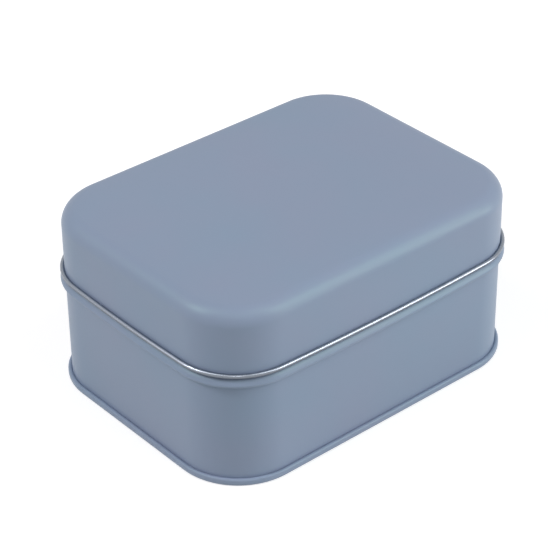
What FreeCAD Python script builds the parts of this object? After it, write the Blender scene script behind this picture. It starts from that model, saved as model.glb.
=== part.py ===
import FreeCAD, Part
import math
import os

# A closed slip-lid tin, rectangular with rounded corners. A drawn lid, whose rim is rolled outwards
# into a curl, comes down over the body to just above its stop bead, and a base is seamed on below.
# The sides are straight at the top and at the base and bow out a little at the rim between them.
# Shut, it shows nothing of its inside, so the lid and the body are solid and meet at the lid's rim.
# Millimetres, +Z up. The origin is on the ground under the tin's middle, X along its length. Every
# "reach" is how far something stands out from the lid's skirt.

# Driving dimensions of the whole tin
LENGTH = 112.0  # over the lid's skirt, along X
WIDTH = 85.0  # over the lid's skirt, along Y
HEIGHT = 56.6  # from the ground to the middle of the lid
CORNER_RADIUS = 19.0  # of the lid's skirt, seen from above
SHORT_BOW = 0.45  # how far the middle of each short side stands out at the rim
LONG_BOW = 0.75

# Lid
CROWN_RADIUS = 220.0  # the top falls away this gently towards its edge
EDGE_RADIUS = 5.0  # between the top and the skirt
CURL_RADIUS = 0.67  # outside of the rolled rim
CURL_REACH = 1.3
CURL_HEIGHT = 36.65  # of the curl's middle

# Body
WALL_REACH = -0.1  # the body's wall is a little inside the lid's skirt
BEAD_RADIUS = 0.8  # over the crown of the stop bead
BEAD_UPPER_RADIUS = 3.2  # of the flatter round above the crown
BEAD_TURN = 20.0  # degrees above outwards at which one round runs into the other
BEAD_REACH = 1.3
BEAD_HEIGHT = 33.7  # of the crown
BEAD_BLEND = 0.7  # hollow round that runs the bead into the wall below it

# Base
SEAM_REACH = 1.1
SEAM_HEIGHT = 2.3
SEAM_SHOULDER = 0.65  # round over the top of the seam
SEAM_FOOT = 0.9  # round under the seam's outside
INNER_FOOT = 0.5  # round on the inside of the edge that the tin stands on
SEAM_THICKNESS = 2.1
PANEL_HEIGHT = 1.5  # of the sunk panel's underside
PANEL_ROUND = 0.5  # between that panel and the seam

# Places that follow from them
RIM_HEIGHT = CURL_HEIGHT - CURL_RADIUS
HALF_X = LENGTH / 2 - CORNER_RADIUS  # from the middle to the axis of a corner's round
HALF_Y = WIDTH / 2 - CORNER_RADIUS
CORNER_SIDES = ((1, 1), (-1, 1), (-1, -1), (1, -1))
CORNERS = [FreeCAD.Vector(x * HALF_X, y * HALF_Y, 0) for x, y in CORNER_SIDES]
STRAIGHT = (0, 0)
BOWED = (SHORT_BOW, LONG_BOW)

ORIGIN = FreeCAD.Vector(0, 0, 0)
UP = FreeCAD.Vector(0, 0, 1)
QUARTER_TURN = 90.0
TOUCHING = 1e-7  # points nearer than this are one point


def at(reach, height):
    """Point of an outline. Its X is the distance from the axis of a corner's round."""
    return FreeCAD.Vector(CORNER_RADIUS + reach, 0, height)


def on_circle(centre, radius, degrees):
    """Point of a circle in an outline, the angle counted from outwards to upwards."""
    turn = math.radians(degrees)
    return centre + FreeCAD.Vector(radius * math.cos(turn), 0, radius * math.sin(turn))


def arc(centre, radius, start, end):
    """Part of such a circle between two angles in degrees."""
    angles = (start, (start + end) / 2, end)
    return Part.Arc(*[on_circle(centre, radius, degrees) for degrees in angles]).toShape()


def joined(curves):
    """The curves of an outline, from its top down, with straight lines across the gaps between."""
    edges = [curves[0]]
    for curve in curves[1:]:
        end = edges[-1].lastVertex(True).Point
        start = curve.firstVertex(True).Point
        if not end.isEqual(start, TOUCHING):
            edges.append(Part.makeLine(end, start))
        edges.append(curve)
    return edges


def placed(section, centre, degrees):
    """A copy of a section at a corner's axis, turned to face that way."""
    copy = section.copy()
    copy.rotate(ORIGIN, UP, degrees)
    copy.translate(centre)
    return copy


def side_leans(bows):
    """Angles in degrees by which the short and the long sides have turned at their ends."""
    return [math.degrees(2 * math.atan(bow / half)) for bow, half in zip(bows, (HALF_Y, HALF_X))]


def along_sides(section, bows):
    """The section moved along each side, on a wide arc through the corners' axes if it bows."""
    leans = side_leans(bows)
    pieces = []
    for number, corner in enumerate(CORNERS):
        before = CORNERS[number - 1]
        lean = leans[number % 2]
        start = number * QUARTER_TURN - lean
        side = placed(section, before, start)
        if lean == 0:
            pieces.append(side.extrude(corner - before))
            continue
        wide_radius = (corner - before).Length / 2 / math.sin(math.radians(lean))
        wide_axis = placed(Part.Vertex(-wide_radius, 0, 0), before, start).Point
        pieces.append(side.revolve(wide_axis, UP, 2 * lean))
    return pieces


def round_corners(section, bows):
    """The section turned about the axis of each corner's round, between the ends of the sides."""
    leans = side_leans(bows)
    turn = QUARTER_TURN - sum(leans)
    pieces = []
    for number, corner in enumerate(CORNERS):
        start = number * QUARTER_TURN + leans[number % 2]
        pieces.append(placed(section, corner, start).revolve(corner, UP, turn))
    return pieces


def ring(reach, height, bows):
    """Closed line all round the tin at one height."""
    point = Part.Vertex(at(reach, height))
    pairs = zip(along_sides(point, bows), round_corners(point, bows))
    return Part.Wire([edge for pair in pairs for edge in pair])


def rounded_block(curves, bows):
    """Solid rectangle with rounded corners whose sides all have one outline, given from its top.

    A plain block fills the middle, between the axes of the corners and the outline's two ends.
    """
    outline = joined(curves)
    top = outline[0].firstVertex(True).Point
    bottom = outline[-1].lastVertex(True).Point
    inner = [bottom, FreeCAD.Vector(0, 0, bottom.z), FreeCAD.Vector(0, 0, top.z)]
    if top.x > TOUCHING:
        inner.append(top)
    profile = Part.Face(Part.Wire(outline + Part.makePolygon(inner).Edges))
    middle = Part.Face(Part.Wire(along_sides(Part.Vertex(0, 0, bottom.z), bows)))
    block = middle.extrude(UP * (top.z - bottom.z))
    return block.multiFuse(along_sides(profile, bows) + round_corners(profile, bows))


def between_rings(upper, lower):
    """Solid whose sides run straight from one closed line down to another."""
    return Part.makeLoft([upper, lower], True, True)


def make_lid():
    """Slightly crowned top, round edge, skirt and the curl of its rim."""
    crown = FreeCAD.Vector(0, 0, HEIGHT - CROWN_RADIUS)
    between = CROWN_RADIUS - EDGE_RADIUS
    edge = FreeCAD.Vector(CORNER_RADIUS - EDGE_RADIUS, 0, 0)
    slope = math.asin(edge.x / between)
    edge.z = crown.z + between * math.cos(slope)
    edge_start = 90 - math.degrees(slope)
    top = rounded_block(
        [
            arc(crown, CROWN_RADIUS, 90, edge_start),
            arc(edge, EDGE_RADIUS, edge_start, 0),
        ],
        STRAIGHT,
    )
    curl = at(CURL_REACH - CURL_RADIUS, CURL_HEIGHT)
    curl_start = math.degrees(math.acos((CURL_RADIUS - CURL_REACH) / CURL_RADIUS))
    curl_top = on_circle(curl, CURL_RADIUS, curl_start).z
    rim = rounded_block([arc(curl, CURL_RADIUS, curl_start, -90)], BOWED)
    skirt = between_rings(ring(0, edge.z, STRAIGHT), ring(0, curl_top, BOWED))
    return top.multiFuse([skirt, rim]).removeSplitter()


def crease_height():
    """Where the round over the seam's top meets the body's wall."""
    across = SEAM_REACH - SEAM_SHOULDER - WALL_REACH
    return SEAM_HEIGHT - SEAM_SHOULDER + math.sqrt(SEAM_SHOULDER**2 - across**2)


def make_body():
    """Wall from the seam to the stop bead, and the neck above it up to the lid's rim."""
    bead = at(BEAD_REACH - BEAD_RADIUS, BEAD_HEIGHT)
    upper = on_circle(bead, BEAD_RADIUS - BEAD_UPPER_RADIUS, BEAD_TURN)
    neck = at(WALL_REACH, RIM_HEIGHT)
    upper_start = math.degrees(math.acos((neck.x - upper.x) / BEAD_UPPER_RADIUS))
    blend = at(WALL_REACH + BEAD_BLEND, 0)
    between = BEAD_RADIUS + BEAD_BLEND
    bead_end = -math.acos((blend.x - bead.x) / between)
    blend.z = bead.z + between * math.sin(bead_end)
    blend_start = 180 + math.degrees(bead_end)
    beaded = rounded_block(
        [
            Part.makeLine(neck, on_circle(upper, BEAD_UPPER_RADIUS, upper_start)),
            arc(upper, BEAD_UPPER_RADIUS, upper_start, BEAD_TURN),
            arc(bead, BEAD_RADIUS, BEAD_TURN, math.degrees(bead_end)),
            arc(blend, BEAD_BLEND, blend_start, 180),
        ],
        BOWED,
    )
    foot = ring(WALL_REACH, crease_height(), STRAIGHT)
    wall = between_rings(ring(WALL_REACH, blend.z, BOWED), foot)
    return beaded.fuse(wall).removeSplitter()


def make_base():
    """Seam that the tin stands on, around a panel that is sunk into the underside."""
    shoulder = at(SEAM_REACH - SEAM_SHOULDER, SEAM_HEIGHT - SEAM_SHOULDER)
    rise = crease_height() - shoulder.z
    shoulder_start = 180 - math.degrees(math.asin(rise / SEAM_SHOULDER))
    foot = at(SEAM_REACH - SEAM_FOOT, SEAM_FOOT)
    block = rounded_block(
        [
            arc(shoulder, SEAM_SHOULDER, shoulder_start, 0),
            arc(foot, SEAM_FOOT, 0, -90),
        ],
        STRAIGHT,
    )
    inner_reach = SEAM_REACH - SEAM_THICKNESS
    panel_edge = at(inner_reach - PANEL_ROUND, PANEL_HEIGHT - PANEL_ROUND)
    inner_foot = at(inner_reach + INNER_FOOT, INNER_FOOT)
    recess = rounded_block(
        [
            arc(panel_edge, PANEL_ROUND, 90, 0),
            arc(inner_foot, INNER_FOOT, 180, 270),
        ],
        STRAIGHT,
    )
    return block.cut(recess).removeSplitter()


def main():
    os.makedirs("parts", exist_ok=True)
    nodes = {"lid": make_lid(), "body": make_body(), "base": make_base()}
    for name, shape in nodes.items():
        box = shape.optimalBoundingBox(True, False)
        size = [round(length, 2) for length in (box.XLength, box.YLength, box.ZLength)]
        print(name, "valid:", shape.isValid(), "solids:", len(shape.Solids), "size:", size)
        shape.Solids[0].exportStep("parts/" + name + ".step")


main()
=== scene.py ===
import math

import bpy
from mathutils import Matrix, Vector


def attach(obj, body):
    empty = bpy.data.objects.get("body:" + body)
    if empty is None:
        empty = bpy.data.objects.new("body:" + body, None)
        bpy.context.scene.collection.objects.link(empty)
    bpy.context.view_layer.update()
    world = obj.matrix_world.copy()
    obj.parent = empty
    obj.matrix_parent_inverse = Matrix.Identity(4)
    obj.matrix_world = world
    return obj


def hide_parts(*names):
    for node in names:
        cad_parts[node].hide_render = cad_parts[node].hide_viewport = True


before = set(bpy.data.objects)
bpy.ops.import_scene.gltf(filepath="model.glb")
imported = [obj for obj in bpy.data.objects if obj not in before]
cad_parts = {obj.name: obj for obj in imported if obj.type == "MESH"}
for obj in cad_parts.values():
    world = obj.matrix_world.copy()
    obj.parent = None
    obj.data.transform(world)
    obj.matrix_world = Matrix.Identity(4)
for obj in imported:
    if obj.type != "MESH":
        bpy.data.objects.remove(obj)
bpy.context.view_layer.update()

MM = 0.001

# The tin's sizes in millimetres, as in the CAD. A "reach" is how far something stands out from the
# lid's skirt.
LENGTH, WIDTH, HEIGHT = 112.0, 85.0, 56.6
CORNER_RADIUS = 19.0
SHORT_BOW, LONG_BOW = 0.45, 0.75
CROWN_RADIUS = 220.0
EDGE_RADIUS = 5.0
CURL_RADIUS, CURL_REACH, CURL_HEIGHT = 0.67, 1.3, 36.65
WALL_REACH = -0.1
BEAD_RADIUS, BEAD_REACH, BEAD_HEIGHT, BEAD_BLEND = 0.8, 1.3, 33.7, 0.7
BEAD_UPPER_RADIUS, BEAD_TURN = 3.2, 20.0  # the flatter round above the crown, and where it ends
SEAM_REACH, SEAM_HEIGHT, SEAM_SHOULDER = 1.1, 2.3, 0.65
SEAM_FOOT, INNER_FOOT, SEAM_THICKNESS = 0.9, 0.5, 2.1
SEAM_TUCK = 0.4  # how far the top of the seam runs in behind the body's wall
PANEL_HEIGHT, PANEL_ROUND = 1.5, 0.5
RIM_HEIGHT = CURL_HEIGHT - CURL_RADIUS

HALF_X = LENGTH / 2 - CORNER_RADIUS
HALF_Y = WIDTH / 2 - CORNER_RADIUS
CORNERS = [(HALF_X, HALF_Y), (-HALF_X, HALF_Y), (-HALF_X, -HALF_Y), (HALF_X, -HALF_Y)]

# How finely each stretch is divided, round the tin and then down its outline
CORNER_STEPS, LONG_STEPS, SHORT_STEPS = 28, 36, 26
CROWN_STEPS, EDGE_STEPS, SKIRT_STEPS = 12, 20, 12
CURL_STEPS = 28
BEAD_UPPER_STEPS, BEAD_STEPS, BLEND_STEPS, WALL_STEPS = 12, 16, 8, 24
SEAM_STEPS, INNER_STEPS = 12, 8
SHARP_ANGLE = 35  # degrees between two faces, from which their edge shows as a crease
STRAIGHT = 1e-9  # a side that leans less than this, in radians, is a straight line

# Blue paint
PAINT_CLOUD = (28.0, 3.0)  # scale and detail of its faint clouds
PAINT_BLUES = ((0.274, 0.318, 0.441, 1), (0.254, 0.324, 0.446, 1))
PAINT_GRAIN = (1400.0, 2.0)  # the same of its fine grain
PAINT_ROUGHNESS = (0.37, 0.45)
PAINT_BUMP, PAINT_BUMP_DEPTH = 0.06, 0.00005  # strength, and depth in metres
PAINT_GLOSS, PAINT_GLOSS_TINT = 0.44, (0.6, 1.0, 0.76, 1)  # its highlights are slightly green

# Bare tinplate of the curl, with painted shade that makes it darker below its middle than above
TIN_GRAIN = (900.0, 2.0)
TIN_GREYS = ((0.315, 0.347, 0.4, 1), (0.33, 0.363, 0.42, 1))
# painted shade: the darker grey that the curl's metal takes below its middle
TIN_PAINTED_SHADE = (0.15, 0.168, 0.198, 1)
TIN_SHADE_FADE = 0.35  # height over which the painted shade below the curl's middle fades into the bright metal, in millimetres
TIN_ROUGHNESS = (0.26, 0.28)

COLOUR_ENDS = (0.3, 0.7)  # values of a noise at which its two colours are pure

# Camera: where it looks from, in degrees, and the point it looks at, in millimetres
AZIMUTH, ELEVATION, ROLL = -40.2495, 33.2716, -0.6545
AIM_HEIGHT = 28.62  # on the tin's axis
AIM_RIGHT, AIM_UP = -2.675, -0.4934  # from there, in the view
DISTANCE = 608.46  # from that point to the camera
LENS, SENSOR = 137.9651, 36.0
NEAREST, FARTHEST = 0.01, 50.0  # metres

# Floor and light, in metres and watts
FLOOR_HALF = 3.0
FLOOR_SHADE = 0.6
FLOOR_GLOW = 0.62  # added where the floor is seen, so that it comes out white
WORLD_LIGHT, WORLD_SEEN = 0.3, 0.75  # strength that lights the tin, and that is seen behind it
LAMP_DISTANCE = 1.6
LAMP_AIM = Vector((0, 0, 0.03))
LAMPS = (  # name, azimuth from the camera to its right, elevation, side, power, colour
    ("right", 73, 34, 0.5, 6.15, (0.97, 1.0, 1.0)),
    ("right_high", 60, 60, 0.55, 3.1, (0.97, 1.0, 1.0)),
    ("right_low", 85, 8, 0.55, 6.8, (1.0, 0.97, 0.99)),
    ("left", -76, 30, 0.9, 3.4, (1.0, 0.95, 1.0)),
    ("left_spot", -77, 43, 0.15, 5.3, (1.0, 0.97, 1.0)),
    ("left_high", -60, 60, 0.65, 2.6, (0.97, 0.99, 1.0)),
    ("front_high", 0, 48, 0.25, 1.6, (1.0, 0.98, 1.0)),
    ("back_high", 180, 60, 0.55, 0.1, (1.0, 1.0, 1.0)),
)
WHITE = (1, 1, 1, 1)


# ---------------------------------------------------------------- shapes

def on_circle(centre, radius, turn):
    """Point of a circle, its angle in radians."""
    return centre[0] + radius * math.cos(turn), centre[1] + radius * math.sin(turn)


def arc_points(centre, radius, start, end, steps):
    """Points (reach, height) of an arc, its angles in degrees from outwards to upwards."""
    turns = [math.radians(start + (end - start) * i / steps) for i in range(steps + 1)]
    return [on_circle(centre, radius, turn) for turn in turns]


def point_between(start, end, share):
    return start[0] + (end[0] - start[0]) * share, start[1] + (end[1] - start[1]) * share


def line_points(start, end, steps):
    """Points (reach, height) of a straight line, without its first."""
    return [point_between(start, end, i / steps) for i in range(1, steps)] + [end]


def side_points(before, corner, facing, lean, radius, steps):
    """Points (x, y) along one side, without its last. It is a wide arc if its ends lean back."""
    shares = [i / steps for i in range(steps)]
    if lean < STRAIGHT:
        return [on_circle(point_between(before, corner, share), radius, facing) for share in shares]
    wide_radius = math.dist(before, corner) / 2 / math.sin(lean)
    wide_axis = on_circle(before, -wide_radius, facing - lean)
    turns = [facing - lean + 2 * lean * share for share in shares]
    return [on_circle(wide_axis, wide_radius + radius, turn) for turn in turns]


def plan_ring(reach, height, bow):
    """One closed ring round the tin. Its sides are wide arcs that stand out by bow x their bows."""
    radius = CORNER_RADIUS + reach
    leans = [
        2 * math.atan(bow * SHORT_BOW / HALF_Y),
        2 * math.atan(bow * LONG_BOW / HALF_X),
    ]
    outline = []
    for number, corner in enumerate(CORNERS):
        lean, next_lean = leans[number % 2], leans[(number + 1) % 2]
        steps = (SHORT_STEPS, LONG_STEPS)[number % 2]
        facing = number * math.pi / 2
        outline += side_points(CORNERS[number - 1], corner, facing, lean, radius, steps)
        start = facing + lean
        end = facing + math.pi / 2 - next_lean
        for i in range(CORNER_STEPS):
            outline.append(on_circle(corner, radius, start + (end - start) * i / CORNER_STEPS))
    return [(x * MM, y * MM, height * MM) for x, y in outline]


def swept(name, profile, bow_at, closed=False):
    """A solid whose sides all have one profile of (reach, height), given from its top.

    The ends are filled across the tin, or, where the profile is closed, joined to each other.
    """
    rings = [plan_ring(reach, height, bow_at(height)) for reach, height in profile]
    rows, count = len(rings), len(rings[0])
    points = [point for ring in rings for point in ring]
    faces = []
    for row in range(rows if closed else rows - 1):
        upper, lower = row * count, (row + 1) % rows * count
        for i in range(count):
            j = (i + 1) % count
            faces.append((upper + i, lower + i, lower + j, upper + j))
    if not closed:
        faces.append(tuple(range(count)))
        faces.append(tuple(reversed(range((rows - 1) * count, rows * count))))
    mesh = bpy.data.meshes.new(name)
    mesh.from_pydata(points, [], faces)
    mesh.validate()
    mesh.shade_smooth()
    mesh.set_sharp_from_angle(angle=math.radians(SHARP_ANGLE))
    piece = bpy.data.objects.new(name, mesh)
    bpy.context.scene.collection.objects.link(piece)
    return piece


def eased(share):
    """0 up to a share of 0, 1 from a share of 1, and a smooth rise between them."""
    share = min(max(share, 0.0), 1.0)
    return share * share * (3 - 2 * share)


def lid_bow(height):
    """The lid's sides are straight under its edge and bow fully at its curl."""
    return 1 - eased((height - CURL_HEIGHT) / (HEIGHT - EDGE_RADIUS - CURL_HEIGHT))


def curl_bow(height):
    """The curl bows fully all over."""
    return 1.0


def body_bow(height):
    """The body's sides are straight at the seam and bow fully at the bead."""
    return eased((height - SEAM_HEIGHT) / (BEAD_HEIGHT - BEAD_RADIUS - SEAM_HEIGHT))


def base_bow(height):
    """The base is straight all over."""
    return 0.0


def lid_profile():
    """From near the corners' axes over the edge and down the skirt to the rim."""
    between = CROWN_RADIUS - EDGE_RADIUS
    slope = math.asin((CORNER_RADIUS - EDGE_RADIUS) / between)
    edge = (-EDGE_RADIUS, HEIGHT - CROWN_RADIUS + between * math.cos(slope))
    profile = []
    for i in range(1, CROWN_STEPS):
        lean = slope * i / CROWN_STEPS
        reach = CROWN_RADIUS * math.sin(lean) - CORNER_RADIUS
        profile.append((reach, HEIGHT - CROWN_RADIUS * (1 - math.cos(lean))))
    profile += arc_points(edge, EDGE_RADIUS, 90 - math.degrees(slope), 0, EDGE_STEPS)
    return profile + line_points(profile[-1], (0.0, RIM_HEIGHT), SKIRT_STEPS)


def curl_profile():
    """All round the curl."""
    centre = (CURL_REACH - CURL_RADIUS, CURL_HEIGHT)
    return arc_points(centre, CURL_RADIUS, 180, -180, CURL_STEPS)[:-1]


def body_profile():
    """From the lid's rim over the bead and its blend, and down the wall to inside the seam."""
    bead = (BEAD_REACH - BEAD_RADIUS, BEAD_HEIGHT)
    between = BEAD_RADIUS + BEAD_BLEND
    blend_reach = WALL_REACH + BEAD_BLEND
    end = -math.acos((blend_reach - bead[0]) / between)
    blend = (blend_reach, bead[1] + between * math.sin(end))
    upper = on_circle(bead, BEAD_RADIUS - BEAD_UPPER_RADIUS, math.radians(BEAD_TURN))
    start = math.degrees(math.acos((WALL_REACH - upper[0]) / BEAD_UPPER_RADIUS))
    profile = [(WALL_REACH, RIM_HEIGHT)]
    profile += arc_points(upper, BEAD_UPPER_RADIUS, start, BEAD_TURN, BEAD_UPPER_STEPS)
    profile += arc_points(bead, BEAD_RADIUS, BEAD_TURN, math.degrees(end), BEAD_STEPS)[1:]
    profile += arc_points(blend, BEAD_BLEND, 180 + math.degrees(end), 180, BLEND_STEPS)[1:]
    foot = (WALL_REACH, SEAM_HEIGHT - SEAM_SHOULDER)
    return profile + line_points(profile[-1], foot, WALL_STEPS)


def base_profile():
    """From inside the body's wall over the seam, under its foot and across the sunk panel."""
    shoulder = (SEAM_REACH - SEAM_SHOULDER, SEAM_HEIGHT - SEAM_SHOULDER)
    foot = (SEAM_REACH - SEAM_FOOT, SEAM_FOOT)
    inner = SEAM_REACH - SEAM_THICKNESS
    inner_foot = (inner + INNER_FOOT, INNER_FOOT)
    panel = (inner - PANEL_ROUND, PANEL_HEIGHT - PANEL_ROUND)
    profile = [(WALL_REACH - SEAM_TUCK, shoulder[1])]
    profile += arc_points(shoulder, SEAM_SHOULDER, 180, 0, SEAM_STEPS)
    profile += arc_points(foot, SEAM_FOOT, 0, -90, SEAM_STEPS)
    profile += arc_points(inner_foot, INNER_FOOT, 270, 180, INNER_STEPS)
    return profile + arc_points(panel, PANEL_ROUND, 0, 90, INNER_STEPS)


# ---------------------------------------------------------------- materials

def new_material(name):
    """A material with its nodes, links and main shader, and the place on the tin to draw it by."""
    material = bpy.data.materials.new(name)
    material.use_nodes = True
    nodes = material.node_tree.nodes
    coords = nodes.new("ShaderNodeTexCoord").outputs["Object"]
    return material, nodes, material.node_tree.links, nodes["Principled BSDF"], coords


def noise(nodes, links, coords, scale, detail):
    texture = nodes.new("ShaderNodeTexNoise")
    texture.inputs["Scale"].default_value = scale
    texture.inputs["Detail"].default_value = detail
    links.new(coords, texture.inputs["Vector"])
    return texture.outputs["Fac"]


def colours_by(nodes, links, value, colours):
    """A value turned into a colour between two."""
    ramp = nodes.new("ShaderNodeValToRGB")
    for element, position, colour in zip(ramp.color_ramp.elements, COLOUR_ENDS, colours):
        element.position = position
        element.color = colour
    links.new(value, ramp.inputs["Fac"])
    return ramp.outputs["Color"]


def range_by(nodes, links, value, lowest, highest):
    """A value from 0 to 1 moved to another range."""
    mapped = nodes.new("ShaderNodeMapRange")
    mapped.inputs["To Min"].default_value = lowest
    mapped.inputs["To Max"].default_value = highest
    links.new(value, mapped.inputs["Value"])
    return mapped.outputs["Result"]


def paint_material():
    """Satin blue paint, faintly clouded, with a fine grain in its gloss and surface."""
    material, nodes, links, shader, coords = new_material("blue_paint")
    cloud = noise(nodes, links, coords, *PAINT_CLOUD)
    grain = noise(nodes, links, coords, *PAINT_GRAIN)
    bump = nodes.new("ShaderNodeBump")
    bump.inputs["Strength"].default_value = PAINT_BUMP
    bump.inputs["Distance"].default_value = PAINT_BUMP_DEPTH
    links.new(grain, bump.inputs["Height"])
    links.new(bump.outputs["Normal"], shader.inputs["Normal"])
    links.new(colours_by(nodes, links, cloud, PAINT_BLUES), shader.inputs["Base Color"])
    links.new(range_by(nodes, links, grain, *PAINT_ROUGHNESS), shader.inputs["Roughness"])
    shader.inputs["Metallic"].default_value = 0.0
    shader.inputs["Specular IOR Level"].default_value = PAINT_GLOSS
    shader.inputs["Specular Tint"].default_value = PAINT_GLOSS_TINT
    return material


def tinplate_material():
    """Bare grained metal, with painted shade darkening the lower half of the curl."""
    material, nodes, links, shader, coords = new_material("bare_tinplate")
    grain = noise(nodes, links, coords, *TIN_GRAIN)
    split = nodes.new("ShaderNodeSeparateXYZ")
    links.new(coords, split.inputs[0])
    brightness = nodes.new("ShaderNodeMapRange")
    brightness.inputs["From Min"].default_value = CURL_HEIGHT * MM
    brightness.inputs["From Max"].default_value = (CURL_HEIGHT + TIN_SHADE_FADE) * MM
    links.new(split.outputs["Z"], brightness.inputs["Value"])
    # painted shade: below the curl's middle the metal's colour is mixed towards a darker grey
    metal = nodes.new("ShaderNodeMix")
    metal.data_type = "RGBA"
    metal.inputs["A"].default_value = TIN_PAINTED_SHADE
    links.new(brightness.outputs["Result"], metal.inputs["Factor"])
    links.new(colours_by(nodes, links, grain, TIN_GREYS), metal.inputs["B"])
    links.new(metal.outputs["Result"], shader.inputs["Base Color"])
    links.new(range_by(nodes, links, grain, *TIN_ROUGHNESS), shader.inputs["Roughness"])
    shader.inputs["Metallic"].default_value = 1.0
    return material


# ---------------------------------------------------------------- the tin

lid = swept("lid_shell", lid_profile(), lid_bow)
curl = swept("lid_curl", curl_profile(), curl_bow, closed=True)
body = swept("body_wall", body_profile(), body_bow)
base = swept("base_seam", base_profile(), base_bow)

paint = paint_material()
tinplate = tinplate_material()

for piece, material, node, slot in (
    (lid, paint, "lid", "blue_paint"),
    (curl, tinplate, "lid", "bare_tinplate"),
    (body, paint, "body", "blue_paint"),
    (base, paint, "base", "blue_paint"),
):
    piece.data.materials.append(material)
    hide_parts(node)
    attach(piece, "root")


# ---------------------------------------------------------------- camera

def direction(azimuth, elevation):
    """Unit vector away from the tin. An azimuth of 0 is towards -Y, and 90 towards +X."""
    turn, lift = math.radians(azimuth), math.radians(elevation)
    level = math.cos(lift)
    return Vector((math.sin(turn) * level, -math.cos(turn) * level, math.sin(lift)))


def add_camera():
    """Camera that looks at a point near the tin's middle, rolled a little about its line of view."""
    turn, roll = math.radians(AZIMUTH), math.radians(ROLL)
    back = direction(AZIMUTH, ELEVATION)
    level_right = Vector((math.cos(turn), math.sin(turn), 0))
    level_up = back.cross(level_right)
    right = level_right * math.cos(roll) + level_up * math.sin(roll)
    up = level_up * math.cos(roll) - level_right * math.sin(roll)
    aim = Vector((0, 0, AIM_HEIGHT)) + right * AIM_RIGHT + up * AIM_UP
    lens = bpy.data.cameras.new("camera")
    lens.sensor_width = SENSOR
    lens.lens = LENS
    lens.clip_start, lens.clip_end = NEAREST, FARTHEST
    camera = bpy.data.objects.new("camera", lens)
    facing = Matrix((right, up, back)).transposed().to_4x4()
    camera.matrix_world = Matrix.Translation((aim + back * DISTANCE) * MM) @ facing
    bpy.context.scene.collection.objects.link(camera)
    bpy.context.scene.camera = camera


# ---------------------------------------------------------------- floor and light

def seen_ray(nodes, links):
    """1 for a ray that shows the background straight, in gloss or through glass."""
    path = nodes.new("ShaderNodeLightPath")
    total = path.outputs["Is Camera Ray"]
    for name in ("Is Glossy Ray", "Is Transmission Ray"):
        larger = nodes.new("ShaderNodeMath")
        larger.operation = "MAXIMUM"
        links.new(total, larger.inputs[0])
        links.new(path.outputs[name], larger.inputs[1])
        total = larger.outputs[0]
    return total


def floor_material():
    """A pale matt floor that takes shadows, with a glow that makes it white where it is seen."""
    material = bpy.data.materials.new("floor")
    material.use_nodes = True
    nodes, links = material.node_tree.nodes, material.node_tree.links
    nodes.clear()
    diffuse = nodes.new("ShaderNodeBsdfDiffuse")
    diffuse.inputs["Color"].default_value = (FLOOR_SHADE, FLOOR_SHADE, FLOOR_SHADE, 1)
    glow = nodes.new("ShaderNodeEmission")
    glow.inputs["Color"].default_value = WHITE
    links.new(range_by(nodes, links, seen_ray(nodes, links), 0, FLOOR_GLOW), glow.inputs["Strength"])
    both = nodes.new("ShaderNodeAddShader")
    links.new(diffuse.outputs[0], both.inputs[0])
    links.new(glow.outputs[0], both.inputs[1])
    out = nodes.new("ShaderNodeOutputMaterial")
    links.new(both.outputs[0], out.inputs["Surface"])
    return material


def add_floor():
    corners = [(x * FLOOR_HALF, y * FLOOR_HALF, 0) for x, y in ((-1, -1), (1, -1), (1, 1), (-1, 1))]
    mesh = bpy.data.meshes.new("floor")
    mesh.from_pydata(corners, [], [(0, 1, 2, 3)])
    mesh.materials.append(floor_material())
    floor = bpy.data.objects.new("floor", mesh)
    bpy.context.scene.collection.objects.link(floor)


def add_lamp(name, azimuth, elevation, side, power, colour):
    """A square lamp aimed at the tin."""
    away = direction(AZIMUTH + azimuth, elevation)
    light = bpy.data.lights.new(name, "AREA")
    light.shape = "SQUARE"
    light.size = side
    light.energy = power
    light.color = colour
    lamp = bpy.data.objects.new(name, light)
    lamp.location = away * LAMP_DISTANCE + LAMP_AIM
    lamp.rotation_mode = "QUATERNION"
    lamp.rotation_quaternion = away.to_track_quat("Z", "Y")
    bpy.context.scene.collection.objects.link(lamp)


def light_world():
    """White all round, weaker as a light on the tin than where it is seen."""
    world = bpy.data.worlds.new("world")
    bpy.context.scene.world = world
    world.use_nodes = True
    nodes, links = world.node_tree.nodes, world.node_tree.links
    background = nodes["Background"]
    background.inputs["Color"].default_value = WHITE
    strength = range_by(nodes, links, seen_ray(nodes, links), WORLD_LIGHT, WORLD_SEEN)
    links.new(strength, background.inputs["Strength"])


add_camera()
add_floor()
for lamp_values in LAMPS:
    add_lamp(*lamp_values)
light_world()

bpy.context.scene.view_settings.view_transform = "Standard"
